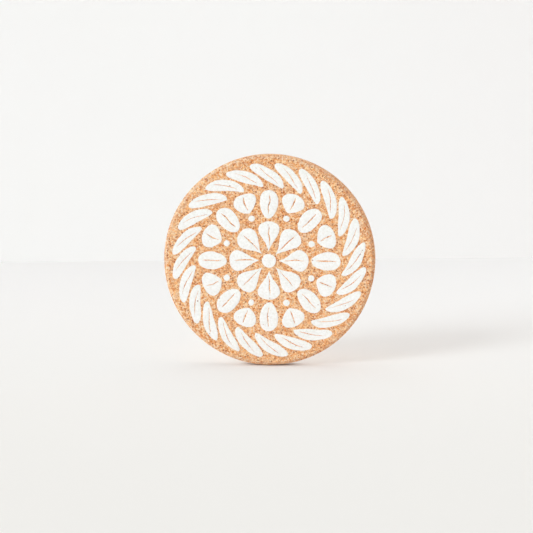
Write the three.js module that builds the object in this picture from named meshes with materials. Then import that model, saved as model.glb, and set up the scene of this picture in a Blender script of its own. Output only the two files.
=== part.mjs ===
// A round cork coaster with a white printed rosette on its face, standing on its rim.
// Millimetres, +Z up. The printed face looks along -Y and the plain back along +Y.
// The origin is where the rim meets the table, midway through the thickness.

import * as THREE from 'three';

// Cork disc
const COASTER_DIAMETER = 100;
const COASTER_THICKNESS = 10;
const EDGE_BEVEL = 1.4; // slant of the front and back edges, as wide as it is deep
const BEVEL_ROUND = 0.6; // rounding where a slant meets the face, the back or the side
const RIM_FLATS = 96; // flats round the rim, one of them lowest
const ROUND_CHORDS = 3; // chords in each rounding

// Printed film
const INK_THICKNESS = 0.1;
const BARE_MARGIN = 2.5; // plain cork between the print and the slanted edge

// Motifs of the print, ring by ring from the centre, at the size they are drawn
const CENTRE_DOT_DIAMETER = 6.6;
const PETAL_LENGTH = 14.2;
const BEAD_DIAMETER = 3;
const BUD_LENGTH = 9.2;
const WREATH_WIDTH = 11.2;
const MOTIF_GAP = 1.3; // cork left between neighbouring motifs
const VEIN_WIDTH = 0.5; // cork line along the middle of a motif
const VEIN_SHARE = 0.7; // part of the motif's length that the line runs along
const PETAL_COUNT = 8;
const SEED_CELL = THREE.MathUtils.degToRad(21); // angle a seed takes; a bud takes the rest
const WREATH_LEAF_COUNT = 24;
const WREATH_SLANT = THREE.MathUtils.degToRad(19); // turn of a leaf from its foot to its tip

// Outline of each kind of motif: how far along it is widest, and how full its ends are
const PETAL_FORM = { widest: 0.64, fullness: 0.52 };
const BUD_FORM = { widest: 0.6, fullness: 0.5 };
const SEED_FORM = { widest: 0.45, fullness: 0.5 };
const LEAF_FORM = { widest: 0.55, fullness: 0.55 };
const OUTLINE_STEPS = 12; // points along each side of a motif
const VEIN_STEPS = 6; // points along each side of a cork line
const CIRCLE_STEPS = 10; // points on half a dot or bead

// Finishes
const CORK_FINISH = { color: 0xe7b487, roughness: 0.9, metalness: 0 };
const INK_FINISH = { color: 0xf6f7f2, roughness: 0.6, metalness: 0 };

// Places that follow from the sizes above
const coasterRadius = COASTER_DIAMETER / 2;
const standHeight = coasterRadius * Math.cos(Math.PI / RIM_FLATS);
const backPlane = (COASTER_THICKNESS + INK_THICKNESS) / 2;
const facePlane = backPlane - COASTER_THICKNESS;
const printRadius = coasterRadius - EDGE_BEVEL - BARE_MARGIN;

// Ring radii as drawn, and the factor that fits the whole print to its circle
const petalFoot = CENTRE_DOT_DIAMETER / 2 + MOTIF_GAP;
const beadFoot = petalFoot + PETAL_LENGTH + MOTIF_GAP;
const budFoot = beadFoot + BEAD_DIAMETER + MOTIF_GAP;
const wreathFoot = budFoot + BUD_LENGTH + MOTIF_GAP;
const drawnRadius = wreathFoot + WREATH_WIDTH;
const fit = printRadius / drawnRadius;
const seedLength = BEAD_DIAMETER + MOTIF_GAP + BUD_LENGTH;
const pitch = (2 * Math.PI) / PETAL_COUNT;

// One slanted edge, from the plane it starts at to the side, with both its corners rounded.
// Depth runs from that plane into the disc: +1 for the face, -1 for the back.
function edgeProfile(plane, inward) {
  const tangent = BEVEL_ROUND * Math.tan(Math.PI / 8);
  const roundings = [
    { out: coasterRadius - EDGE_BEVEL - tangent, deep: BEVEL_ROUND, start: 0 },
    { out: coasterRadius - BEVEL_ROUND, deep: EDGE_BEVEL + tangent, start: Math.PI / 4 },
  ];
  return roundings.flatMap(({ out, deep, start }) =>
    Array.from({ length: ROUND_CHORDS + 1 }, (_, step) => {
      const turn = start + ((Math.PI / 4) * step) / ROUND_CHORDS;
      const depth = deep - BEVEL_ROUND * Math.cos(turn);
      return new THREE.Vector2(out + BEVEL_ROUND * Math.sin(turn), plane + inward * depth);
    }),
  );
}

// The disc: a profile from the middle of the face, over both edges, to the middle of the back.
function corkDisc() {
  const profile = [
    new THREE.Vector2(0, facePlane),
    ...edgeProfile(facePlane, 1),
    ...edgeProfile(backPlane, -1).reverse(),
    new THREE.Vector2(0, backPlane),
  ];
  const geometry = new THREE.LatheGeometry(profile, RIM_FLATS, Math.PI / RIM_FLATS);
  const mesh = new THREE.Mesh(geometry, new THREE.MeshStandardMaterial(CORK_FINISH));
  mesh.name = 'cork_disc';
  mesh.position.z = standHeight;
  return mesh;
}

// A point of the print at a drawn radius and an angle from +X.
function printPoint(radius, angle) {
  return new THREE.Vector2(fit * radius * Math.cos(angle), fit * radius * Math.sin(angle));
}

// Half-width of a motif from foot (0) to tip (1), 1 where it is widest.
function formWidth(form, along) {
  const stretched = along ** (Math.log(0.5) / Math.log(form.widest));
  return (4 * stretched * (1 - stretched)) ** form.fullness;
}

// Closed outline whose two sides lie at equal angles either side of a middle line.
// The line runs from foot to tip and turns by the slant on the way.
function twoSidedOutline(motif, start, end, steps, halfAngle) {
  const left = [];
  const right = [];
  for (let step = 0; step <= steps; step += 1) {
    const share = 0.5 - 0.5 * Math.cos((Math.PI * step) / steps);
    const along = start + (end - start) * share;
    const radius = motif.foot + motif.length * along;
    const middle = motif.angle + motif.slant * (along - 0.5);
    const half = step === 0 || step === steps ? 0 : halfAngle(share, radius);
    right.push(printPoint(radius, middle - half));
    if (half > 0) {
      left.unshift(printPoint(radius, middle + half));
    }
  }
  return [...right, ...left];
}

// A motif that fills its cell of the ring, less half a gap on each side, with a cork line in it.
function motifShape(motif) {
  const cellHalf = (radius) => motif.cell / 2 - MOTIF_GAP / 2 / radius;
  const side = (share, radius) => cellHalf(radius) * formWidth(motif.form, share);
  const shape = new THREE.Shape(twoSidedOutline(motif, 0, 1, OUTLINE_STEPS, side));
  const veinStart = (1 - VEIN_SHARE) / 2;
  const veinSide = (share, radius) => (VEIN_WIDTH / 2 / radius) * Math.sqrt(Math.sin(Math.PI * share));
  const vein = twoSidedOutline(motif, veinStart, 1 - veinStart, VEIN_STEPS, veinSide);
  shape.holes.push(new THREE.Path(vein));
  return shape;
}

// A round spot of the print.
function spotShape(radius, angle, diameter) {
  const centre = printPoint(radius, angle);
  const shape = new THREE.Shape();
  shape.absarc(centre.x, centre.y, (fit * diameter) / 2, 0, 2 * Math.PI);
  return shape;
}

// One patch of ink, lying on the cork face.
function inkPatch(name, shape) {
  const geometry = new THREE.ExtrudeGeometry(shape, {
    depth: INK_THICKNESS,
    bevelEnabled: false,
    curveSegments: CIRCLE_STEPS,
  });
  const mesh = new THREE.Mesh(geometry, new THREE.MeshStandardMaterial(INK_FINISH));
  mesh.name = name;
  return mesh;
}

// A ring of equal motifs, numbered anticlockwise seen from the front.
function motifRing(name, count, firstAngle, motif) {
  return Array.from({ length: count }, (_, index) => {
    const angle = firstAngle + (2 * Math.PI * index) / count;
    return inkPatch(`${name}_${index + 1}`, motifShape({ slant: 0, ...motif, angle }));
  });
}

// The whole print, drawn flat and then turned to lie on the upright face.
function rosettePrint() {
  const petal = { foot: petalFoot, length: PETAL_LENGTH, cell: pitch, form: PETAL_FORM };
  const bud = { foot: budFoot, length: BUD_LENGTH, cell: pitch - SEED_CELL, form: BUD_FORM };
  const seed = { foot: beadFoot, length: seedLength, cell: SEED_CELL, form: SEED_FORM };
  const leaf = {
    foot: wreathFoot,
    length: WREATH_WIDTH,
    cell: (2 * Math.PI) / WREATH_LEAF_COUNT,
    form: LEAF_FORM,
    slant: WREATH_SLANT,
  };
  const beadMiddle = beadFoot + BEAD_DIAMETER / 2;
  const print = new THREE.Group();
  print.add(inkPatch('print_centre_dot', spotShape(0, 0, CENTRE_DOT_DIAMETER)));
  print.add(...motifRing('print_petal', PETAL_COUNT, 0, petal));
  for (let index = 0; index < PETAL_COUNT; index += 1) {
    const spot = spotShape(beadMiddle, pitch * (index + 0.5), BEAD_DIAMETER);
    print.add(inkPatch(`print_bead_${index + 1}`, spot));
  }
  print.add(...motifRing('print_bud', PETAL_COUNT, pitch / 2, bud));
  print.add(...motifRing('print_seed', PETAL_COUNT, 0, seed));
  print.add(...motifRing('print_wreath_leaf', WREATH_LEAF_COUNT, 0, leaf));
  print.rotation.x = Math.PI / 2;
  print.position.set(0, facePlane, standHeight);
  return print;
}

const coaster = new THREE.Group();
coaster.add(corkDisc());
coaster.add(rosettePrint());

export default coaster;
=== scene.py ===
"""Looks of a round cork coaster: grained cork, a white printed rosette, a pale studio and a camera.

Shapes are worked out in millimetres in the part's own frame, and become metres where a mesh is made.
The coaster stands on its rim, its printed face looks along -Y and its plain back along +Y.
"""

from __future__ import annotations

import logging
import math
from dataclasses import dataclass, field, replace
from enum import Enum, IntEnum
from typing import Any

import bpy
import numpy as np
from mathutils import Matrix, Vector


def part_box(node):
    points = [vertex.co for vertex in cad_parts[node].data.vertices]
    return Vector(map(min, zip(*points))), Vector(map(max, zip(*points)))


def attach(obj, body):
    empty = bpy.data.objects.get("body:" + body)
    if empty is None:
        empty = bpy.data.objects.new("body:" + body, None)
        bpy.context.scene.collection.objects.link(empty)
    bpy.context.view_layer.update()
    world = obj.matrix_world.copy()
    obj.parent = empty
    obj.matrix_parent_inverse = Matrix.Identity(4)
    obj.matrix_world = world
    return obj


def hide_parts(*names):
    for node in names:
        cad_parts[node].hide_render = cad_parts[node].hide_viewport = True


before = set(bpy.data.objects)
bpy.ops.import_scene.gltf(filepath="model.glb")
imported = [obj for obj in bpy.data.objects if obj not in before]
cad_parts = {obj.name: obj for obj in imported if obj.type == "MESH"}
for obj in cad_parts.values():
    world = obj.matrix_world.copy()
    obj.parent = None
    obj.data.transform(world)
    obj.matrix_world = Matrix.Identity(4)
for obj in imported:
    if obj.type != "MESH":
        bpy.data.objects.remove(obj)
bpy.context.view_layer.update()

LOG = logging.getLogger("coaster")
METRE = 0.001  # metres in a millimetre
SMALLEST = 1e-9  # keeps a division clear of zero

Array = np.ndarray
Colour = tuple[float, float, float, float]
Stops = tuple[tuple[float, Colour], ...]
Fade = tuple[float, float]  # values at which a pattern has not begun and is full


class Slot(Enum):
    """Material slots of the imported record."""

    CORK = "cork"
    INK = "ink"


class Salt(IntEnum):
    """Uses of the random lattice, so that no two of them share their numbers."""

    SWELL = 1
    GRAIN = 2
    PIT = 3
    PIT_RADIUS = 4
    PIT_X = 5
    PIT_Y = 6
    PIT_Z = 7
    EDGE_ACROSS = 8
    EDGE_UP = 9
    CREEP_ACROSS = 10
    CREEP_UP = 11
    SWAY_ACROSS = 12
    SWAY_UP = 13
    VEIN_PATH = 14
    VEIN_WIDTH = 15


def tint(red: float, green: float, blue: float) -> Colour:
    """Linear colour of a display colour.

    Each channel follows the sRGB curve: a short straight foot, then a power of 2.4.

    Args:
        red: Red from 0 to 255.
        green: Green from 0 to 255.
        blue: Blue from 0 to 255.

    Returns:
        Red, green, blue and an opacity of 1, as a shader socket takes them.
    """
    share = np.array([red, green, blue]) / 255.0
    linear = np.where(share <= 0.04045, share / 12.92, ((share + 0.055) / 1.055) ** 2.4)
    return (*linear.tolist(), 1.0)


class Signal:
    """A number, colour or vector that varies over a surface, with arithmetic on numbers."""

    def __init__(self, graph: Graph, socket: bpy.types.NodeSocket) -> None:
        """Wraps one output socket of a node in the graph."""
        self.graph = graph
        self.socket = socket

    def __add__(self, other: Signal | float) -> Signal:
        """Sum."""
        return self.graph.math("ADD", self, other)

    def __radd__(self, other: float) -> Signal:
        """Sum with a plain number on the left."""
        return self.graph.math("ADD", other, self)

    def __sub__(self, other: Signal | float) -> Signal:
        """Difference."""
        return self.graph.math("SUBTRACT", self, other)

    def __rsub__(self, other: float) -> Signal:
        """Difference with a plain number on the left."""
        return self.graph.math("SUBTRACT", other, self)

    def __mul__(self, other: Signal | float) -> Signal:
        """Product."""
        return self.graph.math("MULTIPLY", self, other)

    def __rmul__(self, other: float) -> Signal:
        """Product with a plain number on the left."""
        return self.graph.math("MULTIPLY", other, self)

    def __gt__(self, other: Signal | float) -> Signal:
        """1 where this is the greater, and 0 elsewhere."""
        return self.graph.math("GREATER_THAN", self, other)

    def eased(self, start: float, end: float) -> Signal:
        """Smooth step from 0 to 1.

        Args:
            start: Value at which the step is still 0.
            end: Value at which it has reached 1, which may be the lower of the two.

        Returns:
            Numbers from 0 to 1.
        """
        low, high = (start, end) if start < end else (end, start)
        ends = {"To Min": 0.0, "To Max": 1.0} if start < end else {"To Min": 1.0, "To Max": 0.0}
        sockets = {"Value": self, "From Min": low, "From Max": high, **ends}
        return self.graph.signal("ShaderNodeMapRange", {"interpolation_type": "SMOOTHSTEP"}, sockets)


class Graph:
    """Node tree of one material or world, built from expressions."""

    def __init__(self, owner: bpy.types.Material | bpy.types.World) -> None:
        """Empties a node tree and takes it over.

        Args:
            owner: Material or world that the tree belongs to.
        """
        owner.use_nodes = True
        self.tree = owner.node_tree
        self.tree.nodes.clear()

    def node(self, kind: str, settings: dict[str, Any], sockets: dict[Any, Any]) -> bpy.types.Node:
        """Adds a node, with its settings made before its sockets are filled.

        Args:
            kind: Blender's name of the node type.
            settings: Properties of the node, and stops, a ramp's positions and colours.
            sockets: Values or signals by input name or number.

        Returns:
            The new node.
        """
        node = self.tree.nodes.new(kind)
        for name, value in settings.items():
            if name == "stops":
                self._set_stops(node.color_ramp, value)
            else:
                setattr(node, name, value)
        for key, value in sockets.items():
            if isinstance(value, Signal):
                self.tree.links.new(value.socket, node.inputs[key])
            else:
                node.inputs[key].default_value = value
        return node

    @staticmethod
    def _set_stops(ramp: bpy.types.ColorRamp, stops: Stops) -> None:
        """Gives a ramp its stops, the first two of which it already has.

        Args:
            ramp: Ramp of a new node.
            stops: Position and colour of each stop, in rising order.
        """
        for _ in stops[2:]:
            ramp.elements.new(1.0)
        for element, (position, colour) in zip(ramp.elements, stops):
            element.position = position
            element.color = colour

    def signal(
        self, kind: str, settings: dict[str, Any], sockets: dict[Any, Any], output: Any = 0
    ) -> Signal:
        """Adds a node as node() does and gives one of its outputs."""
        return Signal(self, self.node(kind, settings, sockets).outputs[output])

    def math(self, operation: str, *values: Signal | float) -> Signal:
        """Math node over one to three numbers."""
        return self.signal("ShaderNodeMath", {"operation": operation}, dict(enumerate(values)))

    def vector(self, operation: str, sockets: dict[Any, Any], output: str = "Vector") -> Signal:
        """Vector Math node."""
        return self.signal("ShaderNodeVectorMath", {"operation": operation}, sockets, output)

    def scaled(self, vector: Signal, factor: float) -> Signal:
        """A vector times a number."""
        return self.vector("SCALE", {0: vector, "Scale": factor})

    def place(self) -> Signal:
        """The point's own place in the part's frame, in millimetres."""
        return self.scaled(self.signal("ShaderNodeTexCoord", {}, {}, "Object"), 1.0 / METRE)

    def stirred(self, place: Signal, size: float, reach: float) -> Signal:
        """Moves a place about by smooth noise, so that a pattern read there has wandering outlines.

        Args:
            place: Place in millimetres.
            size: Size of the noise's swirls in millimetres.
            reach: Farthest move along each axis in millimetres.

        Returns:
            The moved place.
        """
        noise = {"Vector": place, "Scale": 1.0 / size, "Detail": 1.0}
        swirl = self.signal("ShaderNodeTexNoise", {}, noise, "Color")
        centred = self.vector("SUBTRACT", {0: swirl, 1: (0.5, 0.5, 0.5)})
        return self.vector("ADD", {0: place, 1: self.scaled(centred, 2.0 * reach)})

    def noise(self, place: Signal, size: float) -> Signal:
        """Smooth noise from 0 to 1 with swirls of a size in millimetres."""
        return self.signal("ShaderNodeTexNoise", {}, {"Vector": place, "Scale": 1.0 / size, "Detail": 2.0})

    def cells(self, place: Signal, size: float) -> bpy.types.Node:
        """Cells round seeds a size apart in millimetres: Distance to the seed and a random Color."""
        return self.node("ShaderNodeTexVoronoi", {"feature": "F1"}, {"Vector": place, "Scale": 1.0 / size})

    def seams(self, place: Signal, size: float) -> Signal:
        """Distance to the border of the cells that cells() makes, in cell sizes."""
        sockets = {"Vector": place, "Scale": 1.0 / size}
        return self.signal("ShaderNodeTexVoronoi", {"feature": "DISTANCE_TO_EDGE"}, sockets)

    def channels(self, cells: bpy.types.Node) -> list[Signal]:
        """Three random numbers of each cell, from its colour."""
        split = self.node("ShaderNodeSeparateColor", {}, {0: Signal(self, cells.outputs["Color"])})
        return [Signal(self, output) for output in split.outputs]

    def ramp(self, share: Signal, stops: Stops) -> Signal:
        """Colour along a row of stops."""
        return self.signal("ShaderNodeValToRGB", {"stops": stops}, {0: share})

    def blend(self, share: Signal, first: Signal | Colour, second: Signal | Colour) -> Signal:
        """Colour between two colours, nearer the second as the share grows."""
        return self.signal("ShaderNodeMix", {"data_type": "RGBA"}, {0: share, 6: first, 7: second}, 2)

    def attribute(self, name: str) -> Signal:
        """A number that the mesh carries at its points."""
        return self.signal("ShaderNodeAttribute", {"attribute_name": name}, {}, "Fac")

    def bump(self, height: Signal, reach: float) -> Signal:
        """Surface direction over a height from 0 to 1 that stands for a reach in millimetres."""
        sockets = {"Strength": 1.0, "Distance": reach * METRE, "Height": height}
        return self.signal("ShaderNodeBump", {}, sockets)

    def seen(self) -> Signal:
        """Tells what the camera sees, straight or in a mirror or through glass.

        Returns:
            1 for such rays and 0 for others.
        """
        rays = self.node("ShaderNodeLightPath", {}, {})
        names = ("Is Camera Ray", "Is Glossy Ray", "Is Transmission Ray")
        direct, mirrored, through = (Signal(self, rays.outputs[name]) for name in names)
        return self.math("MAXIMUM", self.math("MAXIMUM", direct, mirrored), through)

    def finish(self, sockets: dict[str, Any]) -> None:
        """Ends a material's tree in one Principled shader."""
        self.close(self.node("ShaderNodeBsdfPrincipled", {}, sockets), "ShaderNodeOutputMaterial")

    def close(self, shader: bpy.types.Node, output: str) -> None:
        """Links a shader to the tree's output."""
        self.node(output, {}, {"Surface": Signal(self, shader.outputs[0])})


@dataclass(frozen=True)
class Specks:
    """Scattered soft-edged specks of one colour: discs round some of the seeds of a cell pattern.

    Spacing and the largest radius are in millimetres. The share is the part of the seeds that carry a
    speck, and the strength is how much of its colour shows.
    """

    spacing: float
    share: float
    radius: float
    strength: float
    colour: Colour
    smallest: float = 0.45
    softness: float = 0.18

    def over(self, graph: Graph, place: Signal, ground: Signal) -> Signal:
        """Lays the specks over a colour.

        Args:
            graph: Tree to build in.
            place: Place in millimetres.
            ground: Colour between the specks.

        Returns:
            The speckled colour.
        """
        cells = graph.cells(place, self.spacing)
        picked, size, _ = graph.channels(cells)
        largest = self.radius / self.spacing
        reach = (self.smallest + (1.0 - self.smallest) * size) * largest
        inside = reach - Signal(graph, cells.outputs["Distance"])
        speck = inside.eased(0.0, self.softness * largest) * (picked > 1.0 - self.share)
        return graph.blend(speck * self.strength, ground, self.colour)


@dataclass(frozen=True)
class CorkFinish:
    """Fine agglomerated cork: bonded granules in tan tones, bark specks, cream flecks and open pits.

    Some granules are russet and the others drab, over the same range from dark to light. The sanded edges
    are a little paler: partly dust, partly a painted sheen.
    """

    granule: float = 0.7
    crumb: float = 0.38
    fibre: float = 0.28
    cloud: float = 7.0
    swirl: float = 0.6
    stray: float = 0.16
    tone_weights: tuple[float, float, float, float] = (0.52, 0.28, 0.14, 0.06)
    family_weights: tuple[float, float] = (0.6, 0.4)
    family_fade: Fade = (0.42, 0.58)
    russet: Stops = (
        (0.14, tint(206, 107, 44)),
        (0.32, tint(228, 153, 90)),
        (0.5, tint(245, 184, 127)),
        (0.66, tint(250, 203, 149)),
        (0.84, tint(253, 225, 179)),
    )
    drab: Stops = (
        (0.14, tint(194, 113, 68)),
        (0.32, tint(216, 159, 114)),
        (0.5, tint(234, 190, 151)),
        (0.66, tint(242, 209, 172)),
        (0.84, tint(251, 229, 202)),
    )
    seam: Colour = tint(190, 108, 60)
    seam_strength: float = 0.5
    seam_fade: Fade = (0.12, 0.02)
    seam_dip: Fade = (0.0, 0.22)
    seam_patch: float = 1.7
    patch_fade: Fade = (0.42, 0.6)
    fleck: Specks = Specks(1.4, 0.5, 0.4, 0.6, tint(255, 230, 194))
    bark: Specks = Specks(1.2, 0.5, 0.4, 0.85, tint(150, 66, 32))
    # darker colour in the pits: painted shade in the hollows
    pit: Colour = tint(168, 88, 48)
    pit_shade_strength: float = 0.75
    pit_fade: Fade = (0.15, 0.75)
    # paler colour of the sanded edges: partly dust, partly a painted sheen
    dust_and_sheen: Colour = tint(231, 216, 200)
    dusting_and_sheen: float = 0.12
    height_weights: tuple[float, float, float] = (0.45, 0.35, 0.2)
    height_noise: float = 0.3
    relief: float = 0.035
    roughness: float = 0.84
    pit_roughness: float = 0.1
    specular: float = 0.1

    def granule_place(self, graph: Graph) -> Signal:
        """The point's place in millimetres, stirred so that granules have wandering outlines."""
        return graph.stirred(graph.place(), self.swirl, self.stray)

    def height(self, graph: Graph, place: Signal) -> Signal:
        """Height of the granules: each has its own level and dips at its seams, under fine noise.

        Args:
            graph: Tree to build in.
            place: Stirred place in millimetres.

        Returns:
            Numbers from 0 to 1.
        """
        level = graph.channels(graph.cells(place, self.granule))[1]
        dip = graph.seams(place, self.granule).eased(*self.seam_dip)
        own, seamed, fine = self.height_weights
        return own * level + seamed * dip + fine * graph.noise(place, self.height_noise)

    def granules(self, graph: Graph, place: Signal) -> Signal:
        """Colour of the granules: a weighted sum picks the tone, and another the family.

        Args:
            graph: Tree to build in.
            place: Stirred place in millimetres.

        Returns:
            The colour.
        """
        tone, _, family = graph.channels(graph.cells(place, self.granule))
        crumb_tone, _, crumb_family = graph.channels(graph.cells(place, self.crumb))
        large, small, fibrous, cloudy = self.tone_weights
        shade = large * tone + small * crumb_tone + fibrous * graph.noise(place, self.fibre)
        shade = shade + cloudy * graph.noise(place, self.cloud)
        whole, part = self.family_weights
        warm = (whole * family + part * crumb_family).eased(*self.family_fade)
        return graph.blend(warm, graph.ramp(shade, self.drab), graph.ramp(shade, self.russet))

    def colour(self, graph: Graph, place: Signal) -> Signal:
        """Colour of bare cork: granules, with darker seams in patches, cream flecks and bark specks.

        Args:
            graph: Tree to build in.
            place: Stirred place in millimetres.

        Returns:
            The colour.
        """
        patchy = graph.noise(place, self.seam_patch).eased(*self.patch_fade)
        seam = graph.seams(place, self.granule).eased(*self.seam_fade) * patchy
        colour = graph.blend(seam * self.seam_strength, self.granules(graph, place), self.seam)
        return self.bark.over(graph, place, self.fleck.over(graph, place, colour))

    def material(self) -> bpy.types.Material:
        """Builds the finish, which reads each point's place and the numbers that the mesh carries.

        Returns:
            The material.
        """
        material = bpy.data.materials.new("bonded_cork")
        graph = Graph(material)
        place = self.granule_place(graph)
        pit = graph.attribute("pit").eased(*self.pit_fade)
        # the pits darkened with painted shade
        grained = graph.blend(pit * self.pit_shade_strength, self.colour(graph, place), self.pit)
        sockets = {
            # paler sanded edges: partly dust, partly a painted sheen
            "Base Color": graph.blend(graph.attribute("edge") * self.dusting_and_sheen, grained, self.dust_and_sheen),
            "Roughness": self.roughness + self.pit_roughness * pit,
            "Specular IOR Level": self.specular,
            "Normal": graph.bump(self.height(graph, place), self.relief),
        }
        graph.finish(sockets)
        return material


@dataclass(frozen=True)
class InkFinish:
    """Matt white printing ink, thin enough that the granules under it show as relief and a faint mottle."""

    cork: CorkFinish
    white: Colour = tint(252, 251, 248)
    dull: Colour = tint(245, 244, 240)
    mottle: float = 0.9
    mottle_fade: Fade = (0.35, 0.65)
    thin: Colour = tint(226, 213, 196)
    thin_level: Fade = (0.5, 0.0)
    thin_patch: float = 0.45
    thin_fade: Fade = (0.3, 0.6)
    thin_strength: float = 0.35
    pinhole: Specks = Specks(2.6, 0.08, 0.45, 0.85, tint(160, 100, 64))
    # bare cork where the ink misses the deeper pits, darkened with painted shade
    shaded_hole: Colour = tint(160, 100, 64)
    hole_shade_strength: float = 0.7
    hole_fade: Fade = (0.68, 0.9)
    relief: float = 0.04
    roughness: float = 0.6
    thin_roughness: float = 0.15
    specular: float = 0.3

    def material(self) -> bpy.types.Material:
        """Builds the finish, with thin places over some granules and holes over the deeper pits.

        Returns:
            The material.
        """
        material = bpy.data.materials.new("white_ink")
        graph = Graph(material)
        place = self.cork.granule_place(graph)
        level = graph.channels(graph.cells(place, self.cork.granule))[1]
        patchy = graph.noise(place, self.thin_patch).eased(*self.thin_fade)
        thin = level.eased(*self.thin_level) * patchy
        cloud = graph.noise(place, self.mottle).eased(*self.mottle_fade)
        cloudy = graph.blend(cloud, self.dull, self.white)
        colour = graph.blend(thin * self.thin_strength, cloudy, self.thin)
        # holes over the deeper pits: bare cork with painted shade
        shaded_hole = graph.attribute("pit").eased(*self.hole_fade)
        colour = self.pinhole.over(graph, place, colour)
        sockets = {
            "Base Color": graph.blend(shaded_hole * self.hole_shade_strength, colour, self.shaded_hole),
            "Roughness": self.roughness + self.thin_roughness * thin,
            "Specular IOR Level": self.specular,
            "Normal": graph.bump(self.cork.height(graph, place), self.relief),
        }
        graph.finish(sockets)
        return material


@dataclass(frozen=True)
class StageFinish:
    """Matt painted studio surface, whose colour changes from the front to the back of the studio.

    The camera sees it in its own colour with a little light added, and the object is lit by a plainer one.
    No light is added round the object's foot, where the surface has its plain colour and a full shadow.
    Fades are in millimetres.
    """

    name: str
    near: Colour
    far: Colour
    bounced: Colour
    glow: float
    fade: Fade
    plain: Colour = (0.95, 0.935, 0.92, 1.0)
    foot: Fade = (5.0, 19.0)
    roughness: float = 0.9
    specular: float = 0.1

    def material(self) -> bpy.types.Material:
        """Builds the finish.

        Returns:
            The material.
        """
        material = bpy.data.materials.new(self.name)
        graph = Graph(material)
        place = graph.place()
        back = graph.signal("ShaderNodeSeparateXYZ", {}, {0: place}, "Y").eased(*self.fade)
        clear = graph.vector("LENGTH", {0: place}, "Value").eased(*self.foot)
        colour = graph.blend(clear, self.plain, graph.blend(back, self.near, self.far))
        seen = graph.seen()
        lit = (self.glow, self.glow, self.glow, 1.0)
        sockets = {
            "Base Color": graph.blend(seen, self.bounced, colour),
            "Roughness": self.roughness,
            "Specular IOR Level": self.specular,
            "Emission Color": graph.blend(seen * clear, (0.0, 0.0, 0.0, 1.0), lit),
            "Emission Strength": 1.0,
        }
        graph.finish(sockets)
        return material


HASH_FACTORS = np.array([0x8DA6B343, 0xD8163841, 0xCB1AB31F], np.uint32)
SALT_FACTOR = 0x9E3779B9
SCRAMBLES = ((15, 0x2C1B3C6D), (12, 0x297A2D39), (15, 1))
CORNERS = np.stack(np.meshgrid([0, 1], [0, 1], [0, 1], indexing="ij"), -1).reshape(-1, 3)
NEIGHBOURS = np.stack(np.meshgrid([-1, 0, 1], [-1, 0, 1], [-1, 0, 1], indexing="ij"), -1).reshape(-1, 3)


def lattice_random(cells: Array, salt: Salt) -> Array:
    """Gives each cell of a lattice its own random number.

    The three cell numbers are multiplied by large odd factors and joined by exclusive or with the
    salt, and the result is scrambled by shifts and products.

    Args:
        cells: Whole cell numbers, the last axis of length three.
        salt: Use that the numbers are for.

    Returns:
        Numbers from 0 to 1, one for each cell.
    """
    mixed = np.bitwise_xor.reduce(cells.astype(np.int64).astype(np.uint32) * HASH_FACTORS, axis=-1)
    mixed = mixed ^ np.uint32(int(salt) * SALT_FACTOR % 2**32)
    for shift, factor in SCRAMBLES:
        mixed = (mixed ^ (mixed >> np.uint32(shift))) * np.uint32(factor)
    return mixed / 2.0**32


def soft_noise(points: Array, size: float, salt: Salt) -> Array:
    """Smooth noise: random numbers at the corners of a lattice, eased between them.

    The easing is 3 t squared less 2 t cubed along each axis.

    Args:
        points: Places, the last axis of length three.
        size: Side of a lattice cell.
        salt: Use that the noise is for.

    Returns:
        Numbers from -1 to 1, one for each place.
    """
    place = points / size
    corner = np.floor(place)
    share = place - corner
    ease = share * share * (3.0 - 2.0 * share)
    total = np.zeros(points.shape[:-1])
    for step in CORNERS:
        weight = np.prod(np.where(step == 1, ease, 1.0 - ease), axis=-1)
        total += weight * lattice_random(corner + step, salt)
    return 2.0 * total - 1.0


@dataclass(frozen=True)
class GrainRelief:
    """Depth of the cork's surface below its plane: a slow swell, a finer grain and broken-out pits."""

    swell_size: float = 3.4
    swell_depth: float = 0.05
    grain_size: float = 1.15
    grain_depth: float = 0.06
    pit_spacing: float = 2.7
    pit_share: float = 0.5
    pit_least: float = 0.45
    pit_most: float = 0.95
    pit_depth: float = 0.24

    def pits(self, points: Array) -> Array:
        """How far into a pit each place is.

        Seeds lie one to a lattice cell at a random place in it, and some carry a ball-shaped pit. The
        number is the square of one less the squared distance over the squared radius.

        Args:
            points: Places in millimetres, one to a row.

        Returns:
            1 at the middle of a pit, 0 outside all of them.
        """
        place = points / self.pit_spacing
        corner = np.floor(place)
        deepest = np.zeros(len(points))
        for step in NEIGHBOURS:
            cell = corner + step
            jitter = [lattice_random(cell, salt) for salt in (Salt.PIT_X, Salt.PIT_Y, Salt.PIT_Z)]
            apart = (place - cell - np.stack(jitter, -1)) * self.pit_spacing
            spread = self.pit_most - self.pit_least
            radius = self.pit_least + spread * lattice_random(cell, Salt.PIT_RADIUS)
            inside = np.clip(1.0 - np.sum(apart * apart, axis=-1) / radius**2, 0.0, 1.0) ** 2
            carries = lattice_random(cell, Salt.PIT) < self.pit_share
            deepest = np.maximum(deepest, np.where(carries, inside, 0.0))
        return deepest

    def depth(self, points: Array, pits: Array) -> Array:
        """Depth of the surface: half-lifted swell and grain noise, plus the pits.

        Args:
            points: Places in millimetres, one to a row.
            pits: How far into a pit each place is.

        Returns:
            Depths in millimetres.
        """
        swell = self.swell_depth * (0.5 + 0.5 * soft_noise(points, self.swell_size, Salt.SWELL))
        grain = self.grain_depth * (0.5 + 0.5 * soft_noise(points, self.grain_size, Salt.GRAIN))
        return swell + grain + self.pit_depth * pits


def grid_quads(number: Array) -> Array:
    """Quads by point number over a grid of numbers."""
    corners = [number[:-1, :-1], number[1:, :-1], number[1:, 1:], number[:-1, 1:]]
    return np.stack(corners, -1).reshape(-1, 4)


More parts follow.
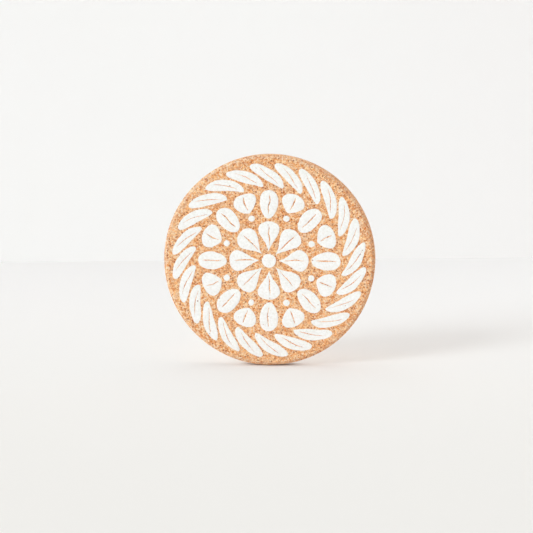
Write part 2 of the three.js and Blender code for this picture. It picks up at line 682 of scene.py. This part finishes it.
def ring_quads(rows: int, columns: int) -> Array:
    """Quads by point number of a grid that closes on itself both ways.

    Args:
        rows: Rows of points.
        columns: Points in a row.

    Returns:
        Point numbers, four to a row.
    """
    number = np.arange(rows * columns).reshape(rows, columns)
    ahead = np.roll(number, -1, axis=1)
    corners = [number, ahead, np.roll(ahead, -1, axis=0), np.roll(number, -1, axis=0)]
    return np.stack(corners, -1).reshape(-1, 4)


@dataclass(frozen=True)
class LiddedGrid:
    """Quads over a closed round body: a front lid, rows round its rim and a back lid.

    A lid is a square grid pressed into the unit disc. The larger of a point's two coordinates becomes
    its radius, and the other over it, times an eighth of a turn, becomes its angle in that quarter.
    """

    across: int
    rows: int

    def lid(self) -> Array:
        """Presses the square grid into the unit disc.

        Returns:
            Points of a lid, one to a row.
        """
        line = np.linspace(-1.0, 1.0, self.across + 1)
        first, second = np.meshgrid(line, line, indexing="ij")
        wide = np.abs(first) >= np.abs(second)
        radius = np.where(wide, first, second)
        other = np.where(wide, second, first)
        eighth = 0.25 * np.pi * other / np.where(radius == 0.0, 1.0, radius)
        turn = np.where(wide, eighth, 0.5 * np.pi - eighth)
        return np.stack([radius * np.cos(turn), radius * np.sin(turn)], -1).reshape(-1, 2)

    def numbers(self) -> Array:
        """Numbers of a lid's points, as a square."""
        return np.arange((self.across + 1) ** 2).reshape(self.across + 1, -1)

    def border(self) -> Array:
        """Numbers of a lid's border points, in order round it."""
        number = self.numbers()
        return np.concatenate([number[:-1, 0], number[-1, :-1], number[:0:-1, -1], number[0, :0:-1]])

    def quads(self) -> Array:
        """Joins the points, which run front lid, back lid, then the rows between them.

        Returns:
            Point numbers, four to a row.
        """
        number = self.numbers()
        front = grid_quads(number)
        back = front[:, ::-1] + number.size
        border = self.border()
        inner = 2 * number.size + np.arange((self.rows - 2) * border.size).reshape(self.rows - 2, -1)
        ring = np.concatenate([border[None], inner, border[None] + number.size])
        ahead = np.roll(ring, -1, axis=1)
        band = np.stack([ahead[:-1], ring[:-1], ring[1:], ahead[1:]], -1).reshape(-1, 4)
        return np.concatenate([front, back, band])

    def spread(self, profile: Array) -> Array:
        """Lays the grid out round an axis.

        Args:
            profile: One row for each row of the rim, with its radius and its place along the axis. The
                first row is the front lid's border and the last the back lid's.

        Returns:
            Across, up and along for each point.
        """
        lid = self.lid()
        compass = lid[self.border()]
        front = np.column_stack([lid * profile[0, 0], np.full(len(lid), profile[0, 1])])
        back = np.column_stack([lid * profile[-1, 0], np.full(len(lid), profile[-1, 1])])
        inner = profile[1:-1]
        circle = inner[:, None, :1] * compass[None]
        along = np.broadcast_to(inner[:, None, 1:], circle.shape[:2] + (1,))
        return np.concatenate([front, back, np.concatenate([circle, along], -1).reshape(-1, 3)])


def outward(points: Array, quads: Array) -> Array:
    """Turns the faces of a closed body outwards.

    The volume is a sixth of the sum over all triangles of the product of one corner with the cross
    product of the other two. Where it is negative, every face is turned round.

    Args:
        points: Places, one to a row.
        quads: Point numbers, four to a row, all wound the same way.

    Returns:
        The quads, turned round if they faced inwards.
    """
    corner = points[quads] - points.mean(axis=0)
    halves = [(0, 1, 2), (0, 2, 3)]
    volume = sum(np.sum(corner[:, a] * np.cross(corner[:, b], corner[:, c])) for a, b, c in halves)
    return quads if volume > 0.0 else quads[:, ::-1]


@dataclass
class Subassembly:
    """Pieces of one kind that share a finish. The record's slot for it is held, though no piece is given
    it.
    """

    material: bpy.types.Material
    slot: Slot
    crease: float = math.radians(48.0)

    def add_piece(
        self, name: str, node: str, points: Array, quads: Array, carried: dict[str, Array]
    ) -> bpy.types.Object:
        """Makes one piece that stands for a solid of the frame and moves with it.

        Args:
            name: Name of the piece.
            node: Name of the solid that it replaces.
            points: Places in millimetres, one to a row.
            quads: Point numbers, four to a row.
            carried: Numbers at the points that the finish reads, by name.

        Returns:
            The finished piece.
        """
        quads = outward(points, quads)
        mesh = bpy.data.meshes.new(name)
        mesh.vertices.add(len(points))
        mesh.vertices.foreach_set("co", (points * METRE).astype(np.float32).ravel())
        mesh.loops.add(quads.size)
        mesh.loops.foreach_set("vertex_index", quads.astype(np.int32).ravel())
        mesh.polygons.add(len(quads))
        mesh.polygons.foreach_set("loop_start", np.arange(0, quads.size, 4, dtype=np.int32))
        mesh.polygons.foreach_set("use_smooth", np.ones(len(quads), bool))
        mesh.update(calc_edges=True)
        mesh.set_sharp_from_angle(angle=self.crease)
        for label, values in carried.items():
            attribute = mesh.attributes.new(label, "FLOAT", "POINT")
            attribute.data.foreach_set("value", values.astype(np.float32))
        mesh.materials.append(self.material)
        piece = bpy.data.objects.new(name, mesh)
        bpy.context.scene.collection.objects.link(piece)
        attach(piece, "root")
        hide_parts(node)
        LOG.info("%s: %d quads, stands for %s", name, len(quads), node)
        return piece


@dataclass
class CorkDisc(Subassembly):
    """The cork body: a disc with both edges slanted and softened, pitted and grained all over."""

    relief: GrainRelief = field(default_factory=GrainRelief)
    node: str = "cork_disc"
    bevel: float = 1.4
    bevel_round: float = 0.6
    edge_calm: float = 0.6  # part of the relief's depth that is sanded off the edges and the side
    calm_rate: float = 3.0  # how fast that begins as the surface turns sideways
    across: int = 186
    round_rows: int = 3
    slant_rows: int = 3
    side_rows: int = 14

    def edge(self) -> Array:
        """Rows over a slanted edge, from the face to the side.

        An eighth of a circle turns from the face into the slant, a straight run follows it, and a second
        eighth turns into the side. The circles touch the slant's ideal corners at the tangent of a
        sixteenth of a turn times their radius.

        Returns:
            Distance in from the rim, depth below the face, and the sine and cosine of the turn, row by row.
        """
        tangent = self.bevel_round * math.tan(math.pi / 8.0)
        turn = np.linspace(0.0, 0.25 * np.pi, self.round_rows + 1)
        late = turn + 0.25 * np.pi
        first_in = self.bevel + tangent - self.bevel_round * np.sin(turn)
        first_deep = self.bevel_round * (1.0 - np.cos(turn))
        last_in = self.bevel_round * (1.0 - np.sin(late))
        last_deep = self.bevel + tangent - self.bevel_round * np.cos(late)
        share = np.linspace(0.0, 1.0, self.slant_rows + 1)[1:-1]
        slant_in = first_in[-1] + (last_in[0] - first_in[-1]) * share
        slant_deep = first_deep[-1] + (last_deep[0] - first_deep[-1]) * share
        half = np.full(len(share), 0.25 * np.pi)
        inset = np.concatenate([first_in, slant_in, last_in])
        deep = np.concatenate([first_deep, slant_deep, last_deep])
        facing = np.concatenate([turn, half, late])
        return np.column_stack([inset, deep, np.sin(facing), np.cos(facing)])

    def profile(self, radius: float, front: float, back: float) -> Array:
        """Rows round the rim: a slanted edge, a straight side, and a slanted edge to the back.

        Args:
            radius: Radius of the disc.
            front: Place of the face along the axis.
            back: Place of the back along the axis.

        Returns:
            Radius, place along the axis, and the outward direction's parts along these, row by row.
        """
        inset, deep, sine, cosine = self.edge().T
        fore = np.column_stack([radius - inset, front + deep, sine, -cosine])
        hind = np.column_stack([radius - inset, back - deep, sine, cosine])[::-1]
        along = np.linspace(fore[-1, 1], hind[0, 1], self.side_rows + 1)[1:-1]
        flat = np.ones(len(along))
        side = np.column_stack([radius * flat, along, flat, 0.0 * flat])
        return np.concatenate([fore, side, hind])

    def build(self) -> bpy.types.Object:
        """Makes the disc from the frame's own box, sunk everywhere by the relief's depth.

        Returns:
            The finished piece.
        """
        low, high = (np.array(corner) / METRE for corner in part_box(self.node))
        radius = 0.5 * (high[0] - low[0])
        middle = 0.5 * (high[2] + low[2])
        profile = self.profile(radius, low[1], high[1])
        grid = LiddedGrid(self.across, len(profile))
        across, up, along = grid.spread(profile[:, :2]).T
        points = np.column_stack([across, along, up + middle])
        lid = np.ones((self.across + 1) ** 2)
        outwards, forwards = np.repeat(profile[1:-1, 2:], 4 * self.across, axis=0).T
        sideways = np.concatenate([0.0 * lid, 0.0 * lid, outwards])
        facing = np.concatenate([-lid, lid, forwards])
        reach = np.maximum(np.hypot(across, up), SMALLEST)
        direction = np.column_stack([sideways * across / reach, facing, sideways * up / reach])
        pits = self.relief.pits(points)
        slanted = np.clip(self.calm_rate * sideways, 0.0, 1.0)
        depth = (1.0 - self.edge_calm * slanted) * self.relief.depth(points, pits)
        sunk = points - direction * depth[:, None]
        return self.add_piece("cork_body", self.node, sunk, grid.quads(), {"pit": pits, "edge": slanted})


@dataclass(frozen=True)
class Form:
    """Outline of a kind of motif: how far along it is widest, and how full its ends are."""

    widest: float
    fullness: float

    def width(self, along: Array) -> Array:
        """Half-width from foot (0) to tip (1): a power of 4 s (1 - s), s stretched to the widest place."""
        stretched = along ** (math.log(0.5) / math.log(self.widest))
        return np.maximum(4.0 * stretched * (1.0 - stretched), 0.0) ** self.fullness


@dataclass(frozen=True)
class Motif:
    """One leaf-shaped motif of a ring, placed by its radius and angle from the middle of the print.

    The cell is the angle that it may fill, and the slant is how far its middle line turns on the way out.
    """

    foot: float
    length: float
    cell: float
    form: Form
    slant: float = 0.0
    angle: float = 0.0

    def edge(self, along: Array, half: Array) -> Array:
        """Points either side of the motif's middle line.

        The line runs out from the foot and turns by the slant on the way, and each point lies off it by
        an angle.

        Args:
            along: How far along the motif each point is, 0 at the foot and 1 at the tip.
            half: Angle off the middle line, negative on one side.

        Returns:
            Across and up for each point.
        """
        radius = self.foot + self.length * along
        turn = self.angle + self.slant * (along - 0.5) + half
        return np.column_stack([radius * np.cos(turn), radius * np.sin(turn)])


@dataclass(frozen=True)
class Wander:
    """One size of the noise that moves the points of a patch in its plane, in millimetres."""

    reach: float
    size: float
    across: Salt
    up: Salt


@dataclass
class RosettePrint(Subassembly):
    """The print: patches of ink in rings, each a thin film with a line of bare cork along its middle."""

    relief: GrainRelief = field(default_factory=GrainRelief)
    centre_dot: float = 6.6
    petal_length: float = 14.2
    bead: float = 3.0
    bud_length: float = 9.2
    wreath_width: float = 11.2
    gap: float = 1.3
    petals: int = 8
    leaves: int = 24
    seed_cell: float = math.radians(21.0)
    leaf_slant: float = math.radians(19.0)
    petal_form: Form = Form(0.64, 0.52)
    bud_form: Form = Form(0.6, 0.5)
    seed_form: Form = Form(0.45, 0.5)
    leaf_form: Form = Form(0.55, 0.55)
    vein_width: float = 0.5
    vein_share: float = 0.7
    vein_stray: float = 0.35
    vein_bend: float = 3.2  # length of a bend in the line
    vein_vary: float = 0.45
    vein_swell: float = 1.6  # length of a swelling of the line
    vein_step: float = 40.0  # keeps the lines of neighbouring motifs apart in the noise
    columns: int = 168
    bands: int = 11
    spot_grid: int = 22
    edge_round: float = 0.06
    edge_most: float = 0.2  # greatest part of a patch's width that its rounded edge may take
    shoulder: float = 0.65  # height in the film at which the rounded edge begins
    sink: float = 0.03
    follow: float = 0.25
    wanders: tuple[Wander, ...] = (
        Wander(0.35, 6.0, Salt.SWAY_ACROSS, Salt.SWAY_UP),
        Wander(0.1, 1.1, Salt.EDGE_ACROSS, Salt.EDGE_UP),
        Wander(0.05, 0.45, Salt.CREEP_ACROSS, Salt.CREEP_UP),
    )

    def __post_init__(self) -> None:
        """Takes the film's planes and the middle of the print from the frame."""
        low, high = (np.array(corner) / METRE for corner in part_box("print_centre_dot"))
        self.top = low[1]
        self.foot = high[1]
        self.middle = 0.5 * (low[2] + high[2])

    def film(self, flat: Array, height: Array) -> tuple[Array, Array]:
        """Lays flat points of a patch on the cork.

        Noise of three sizes moves each point a little in the plane, which makes the outlines sway as if
        drawn by hand and roughens them. A point at height 1 lies in the film's top, which follows a part
        of the cork's depth; one at height 0 lies a little under the cork's surface.

        Args:
            flat: Across and up from the middle of the print, one point to a row.
            height: Height in the film, 0 to 1.

        Returns:
            Places in the part's frame, and how far into a pit each is.
        """
        still = np.column_stack([flat[:, 0], np.full(len(flat), self.foot), flat[:, 1] + self.middle])
        across = sum(one.reach * soft_noise(still, one.size, one.across) for one in self.wanders)
        up = sum(one.reach * soft_noise(still, one.size, one.up) for one in self.wanders)
        moved = still + np.column_stack([across, np.zeros(len(flat)), up])
        pits = self.relief.pits(moved)
        depth = self.relief.depth(moved, pits)
        upper = self.top + self.follow * depth
        lower = self.foot + depth + self.sink
        moved[:, 1] = lower + (upper - lower) * height
        return moved, pits

    def vein(self, motif: Motif, share: Array, side: Array) -> Array:
        """Closed loop round the line of bare cork in a motif.

        Its half-width is a root of a sine along the line, and noise along it makes the line stray and
        swell as a drawn one does.

        Args:
            motif: Place and form of the motif.
            share: How far along the line each point is, 0 to 1.
            side: Side of the line that each point is on, -1 or 1, or 0 at its ends.

        Returns:
            Across and up for each point.
        """
        along = 0.5 * (1.0 - self.vein_share) + self.vein_share * share
        out = motif.foot + motif.length * along
        own = np.full(self.columns, self.vein_step * motif.angle + motif.foot)
        spine = np.column_stack([out, 0.0 * out, own])
        swelling = 1.0 + self.vein_vary * soft_noise(spine, self.vein_swell, Salt.VEIN_WIDTH)
        half = 0.5 * self.vein_width * np.sqrt(np.maximum(np.sin(np.pi * share), 0.0)) * swelling
        stray = self.vein_stray * soft_noise(spine, self.vein_bend, Salt.VEIN_PATH)
        return motif.edge(along, (stray + side * half) / out)

    def motif_patch(self, name: str, node: str, motif: Motif) -> bpy.types.Object:
        """Makes a patch between two closed loops: its outline and the line of bare cork in it.

        Both loops run foot to tip and back as half of one less the cosine of a full turn. The outline's
        half-angle is the cell's, less half a gap, times the form's width. Rows between the loops make the
        film, and its underside closes them.

        Args:
            name: Name of the piece.
            node: Name of the solid that it replaces.
            motif: Place and form of the motif.

        Returns:
            The finished piece.
        """
        turn = np.linspace(0.0, 2.0 * np.pi, self.columns, endpoint=False)
        share = 0.5 - 0.5 * np.cos(turn)
        side = np.sign(np.round(np.sin(turn), 9))
        radius = motif.foot + motif.length * share
        cell = 0.5 * motif.cell - 0.5 * self.gap / radius
        outline = motif.edge(share, side * cell * motif.form.width(share))
        line = self.vein(motif, share, side)
        apart = np.maximum(np.linalg.norm(outline - line, axis=1), SMALLEST)
        tuck = np.minimum(self.edge_round / apart, self.edge_most)[None]
        inner = tuck + (1.0 - 2.0 * tuck) * np.linspace(0.0, 1.0, self.bands)[:, None]
        ones = np.ones((1, self.columns))
        across = np.concatenate([0.0 * ones, 0.0 * ones, inner, ones, ones])
        heights = np.concatenate([[0.0, self.shoulder], np.ones(self.bands), [self.shoulder, 0.0]])
        flat = line + (outline - line) * across[:, :, None]
        points, pits = self.film(flat.reshape(-1, 2), np.repeat(heights, self.columns))
        return self.add_piece(name, node, points, ring_quads(len(heights), self.columns), {"pit": pits})

    def spot_patch(self, label: str, radius: float, angle: float, diameter: float) -> bpy.types.Object:
        """Makes a round patch: a lid for its top, a rounded edge, and a lid for its underside.

        Args:
            label: What the spot is, as the piece and the solid that it replaces are both named.
            radius: Distance of its middle from the middle of the print.
            angle: Angle of its middle.
            diameter: Its diameter.

        Returns:
            The finished piece.
        """
        out = 0.5 * diameter
        profile = np.array([[out - self.edge_round, 1.0], [out, self.shoulder], [out, 0.0]])
        grid = LiddedGrid(self.spot_grid, len(profile))
        spread = grid.spread(profile)
        centre = radius * np.array([math.cos(angle), math.sin(angle)])
        points, pits = self.film(spread[:, :2] + centre, spread[:, 2])
        return self.add_piece(f"ink_{label}", f"print_{label}", points, grid.quads(), {"pit": pits})

    def ring(self, name: str, count: int, first: float, motif: Motif) -> list[bpy.types.Object]:
        """Makes a ring of equal motifs, numbered anticlockwise seen from the front.

        Args:
            name: What the motifs are.
            count: Number of motifs.
            first: Angle of the first one.
            motif: Form that they share.

        Returns:
            The finished pieces.
        """
        turned = [replace(motif, angle=first + 2.0 * math.pi * index / count) for index in range(count)]
        return [
            self.motif_patch(f"ink_{name}_{number}", f"print_{name}_{number}", one)
            for number, one in enumerate(turned, 1)
        ]

    def build(self) -> list[bpy.types.Object]:
        """Makes the whole print, ring by ring from the centre.

        Each ring starts a gap outside the one before it, and buds and seeds share out the pitch of the
        petals.

        Returns:
            The finished pieces.
        """
        pitch = 2.0 * math.pi / self.petals
        petal_foot = 0.5 * self.centre_dot + self.gap
        bead_foot = petal_foot + self.petal_length + self.gap
        bud_foot = bead_foot + self.bead + self.gap
        wreath_foot = bud_foot + self.bud_length + self.gap
        seed_length = self.bead + self.gap + self.bud_length
        leaf_cell = 2.0 * math.pi / self.leaves
        petal = Motif(petal_foot, self.petal_length, pitch, self.petal_form)
        bud = Motif(bud_foot, self.bud_length, pitch - self.seed_cell, self.bud_form)
        seed = Motif(bead_foot, seed_length, self.seed_cell, self.seed_form)
        leaf = Motif(wreath_foot, self.wreath_width, leaf_cell, self.leaf_form, self.leaf_slant)
        bead_middle = bead_foot + 0.5 * self.bead
        pieces = [self.spot_patch("centre_dot", 0.0, 0.0, self.centre_dot)]
        pieces += self.ring("petal", self.petals, 0.0, petal)
        for number in range(1, self.petals + 1):
            pieces.append(self.spot_patch(f"bead_{number}", bead_middle, pitch * (number - 0.5), self.bead))
        pieces += self.ring("bud", self.petals, 0.5 * pitch, bud)
        pieces += self.ring("seed", self.petals, 0.0, seed)
        pieces += self.ring("wreath_leaf", self.leaves, 0.0, leaf)
        return pieces


def direction(azimuth: float, elevation: float) -> Vector:
    """Direction from the object towards a viewpoint.

    Args:
        azimuth: Degrees round the object, 0 in front of the face and 90 on its right.
        elevation: Degrees above the floor.

    Returns:
        A vector of length 1.
    """
    turn = math.radians(azimuth)
    rise = math.radians(elevation)
    level = math.cos(rise)
    return Vector((math.sin(turn) * level, -math.cos(turn) * level, math.sin(rise)))


@dataclass(frozen=True)
class Lamp:
    """A far soft lamp, as bright everywhere in the studio, placed and spread by angles in degrees."""

    name: str
    azimuth: float
    elevation: float
    spread: float
    strength: float
    colour: tuple[float, float, float]

    def build(self) -> None:
        """Hangs the lamp, pointing at the object."""
        light = bpy.data.lights.new(self.name, "SUN")
        light.angle = math.radians(self.spread)
        light.energy = self.strength
        light.color = self.colour
        lamp = bpy.data.objects.new(self.name, light)
        away = direction(self.azimuth, self.elevation)
        lamp.location = away
        lamp.rotation_euler = away.to_track_quat("Z", "Y").to_euler()
        bpy.context.scene.collection.objects.link(lamp)


@dataclass
class Studio:
    """Pale floor and wall, soft panels on both sides and overhead, and a lamp in front on the left.

    The wall stands a little askew behind the coaster. Sizes are in metres.
    """

    wall_distance: float = 0.443
    wall_turn: float = math.radians(8.5)
    half_width: float = 4.0
    front_reach: float = 4.0
    wall_height: float = 0.45
    floor_gap: float = 0.0003  # keeps the floor just clear of the rim
    sheet_cells: int = 8
    sky: float = 0.11
    sky_seen: float = 0.93
    sky_colour: Colour = (1.0, 0.995, 0.985, 1.0)
    floor: StageFinish = StageFinish(
        "pale_floor",
        near=(0.498, 0.487, 0.456, 1.0),
        far=(0.552, 0.544, 0.534, 1.0),
        bounced=(1.0, 0.98, 0.95, 1.0),
        glow=0.38,
        fade=(-300.0, 400.0),
    )
    wall: StageFinish = StageFinish(
        "pale_wall",
        near=(0.563, 0.563, 0.549, 1.0),
        far=(0.542, 0.532, 0.519, 1.0),
        bounced=(0.84, 0.84, 0.82, 1.0),
        glow=0.4,
        fade=(430.0, 475.0),
    )
    lamps: tuple[Lamp, ...] = (
        Lamp("window_lamp", -41.0, 25.5, 24.0, 1.92, (0.92, 1.0, 1.05)),
        Lamp("left_panel", -90.0, 30.0, 110.0, 0.85, (0.73, 1.0, 1.25)),
        Lamp("right_panel", 90.0, 20.0, 90.0, 0.52, (1.95, 1.0, 0.5)),
        Lamp("overhead_panel", 180.0, 72.0, 70.0, 1.12, (0.99, 1.0, 0.96)),
    )

    def sheet(self, name: str, corner: Array, first: Array, second: Array, finish: StageFinish) -> None:
        """Makes a flat stage surface: a grid of a corner plus shares of two sides.

        Args:
            name: Name of the surface.
            corner: One corner.
            first: Side from that corner.
            second: Other side from that corner.
            finish: Its paint.
        """
        share = np.linspace(0.0, 1.0, self.sheet_cells + 1)
        one, two = (grid.reshape(-1, 1) for grid in np.meshgrid(share, share, indexing="ij"))
        points = corner + one * first + two * second
        quads = grid_quads(np.arange(len(points)).reshape(len(share), -1))
        mesh = bpy.data.meshes.new(name)
        mesh.from_pydata(points.tolist(), [], quads.tolist())
        mesh.materials.append(finish.material())
        surface = bpy.data.objects.new(name, mesh)
        bpy.context.scene.collection.objects.link(surface)

    def build_sky(self) -> None:
        """Lights the scene evenly, and shows the camera and any mirror a paler sky."""
        world = bpy.data.worlds.new("studio_sky")
        bpy.context.scene.world = world
        graph = Graph(world)
        strength = self.sky + (self.sky_seen - self.sky) * graph.seen()
        sky = graph.node("ShaderNodeBackground", {}, {"Color": self.sky_colour, "Strength": strength})
        graph.close(sky, "ShaderNodeOutputWorld")

    def build(self) -> None:
        """Sets up the floor, the wall, the sky and the lamps."""
        along = np.array([math.cos(self.wall_turn), math.sin(self.wall_turn), 0.0])
        towards = np.array([math.sin(self.wall_turn), -math.cos(self.wall_turn), 0.0])
        left = np.array([0.0, self.wall_distance, -self.floor_gap]) - self.half_width * along
        wide = 2.0 * self.half_width * along
        high = np.array([0.0, 0.0, self.wall_height])
        near = left + self.front_reach * towards
        self.sheet("studio_floor", near, wide, left - near, self.floor)
        self.sheet("studio_wall", left, wide, high, self.wall)
        self.build_sky()
        for lamp in self.lamps:
            lamp.build()
        LOG.info("studio: floor, wall, sky and %d lamps", len(self.lamps))


@dataclass(frozen=True)
class PhotoCamera:
    """Long lens a little right of the face's axis and a little above it. Places are in metres."""

    azimuth: float = 4.5
    elevation: float = 6.5
    distance: float = 0.9
    lens: float = 128.24
    sensor: float = 36.0
    clip: tuple[float, float] = (0.01, 50.0)
    centre: tuple[float, float, float] = (0.0, 0.0, 0.05)
    aim: tuple[float, float, float] = (-0.001526, 0.0, 0.046636)

    def build(self) -> None:
        """Places the camera by its direction from the disc's centre and points it at the aim."""
        view = bpy.data.cameras.new("photo_camera")
        view.sensor_width = self.sensor
        view.lens = self.lens
        view.clip_start, view.clip_end = self.clip
        camera = bpy.data.objects.new("photo_camera", view)
        eye = Vector(self.centre) + direction(self.azimuth, self.elevation) * self.distance
        camera.location = eye
        camera.rotation_euler = (Vector(self.aim) - eye).to_track_quat("-Z", "Y").to_euler()
        bpy.context.scene.collection.objects.link(camera)
        bpy.context.scene.camera = camera


def main() -> None:
    """Builds the camera, the studio, the cork and the print, in that order."""
    logging.basicConfig(level=logging.INFO, format="%(name)s: %(message)s")
    bpy.context.scene.view_settings.view_transform = "Standard"
    PhotoCamera().build()
    Studio().build()
    cork = CorkFinish()
    relief = GrainRelief()
    CorkDisc(cork.material(), Slot.CORK, relief=relief).build()
    pieces = RosettePrint(InkFinish(cork).material(), Slot.INK, relief=relief).build()
    LOG.info("print: %d patches of ink", len(pieces))


if __name__ == "__main__":
    main()
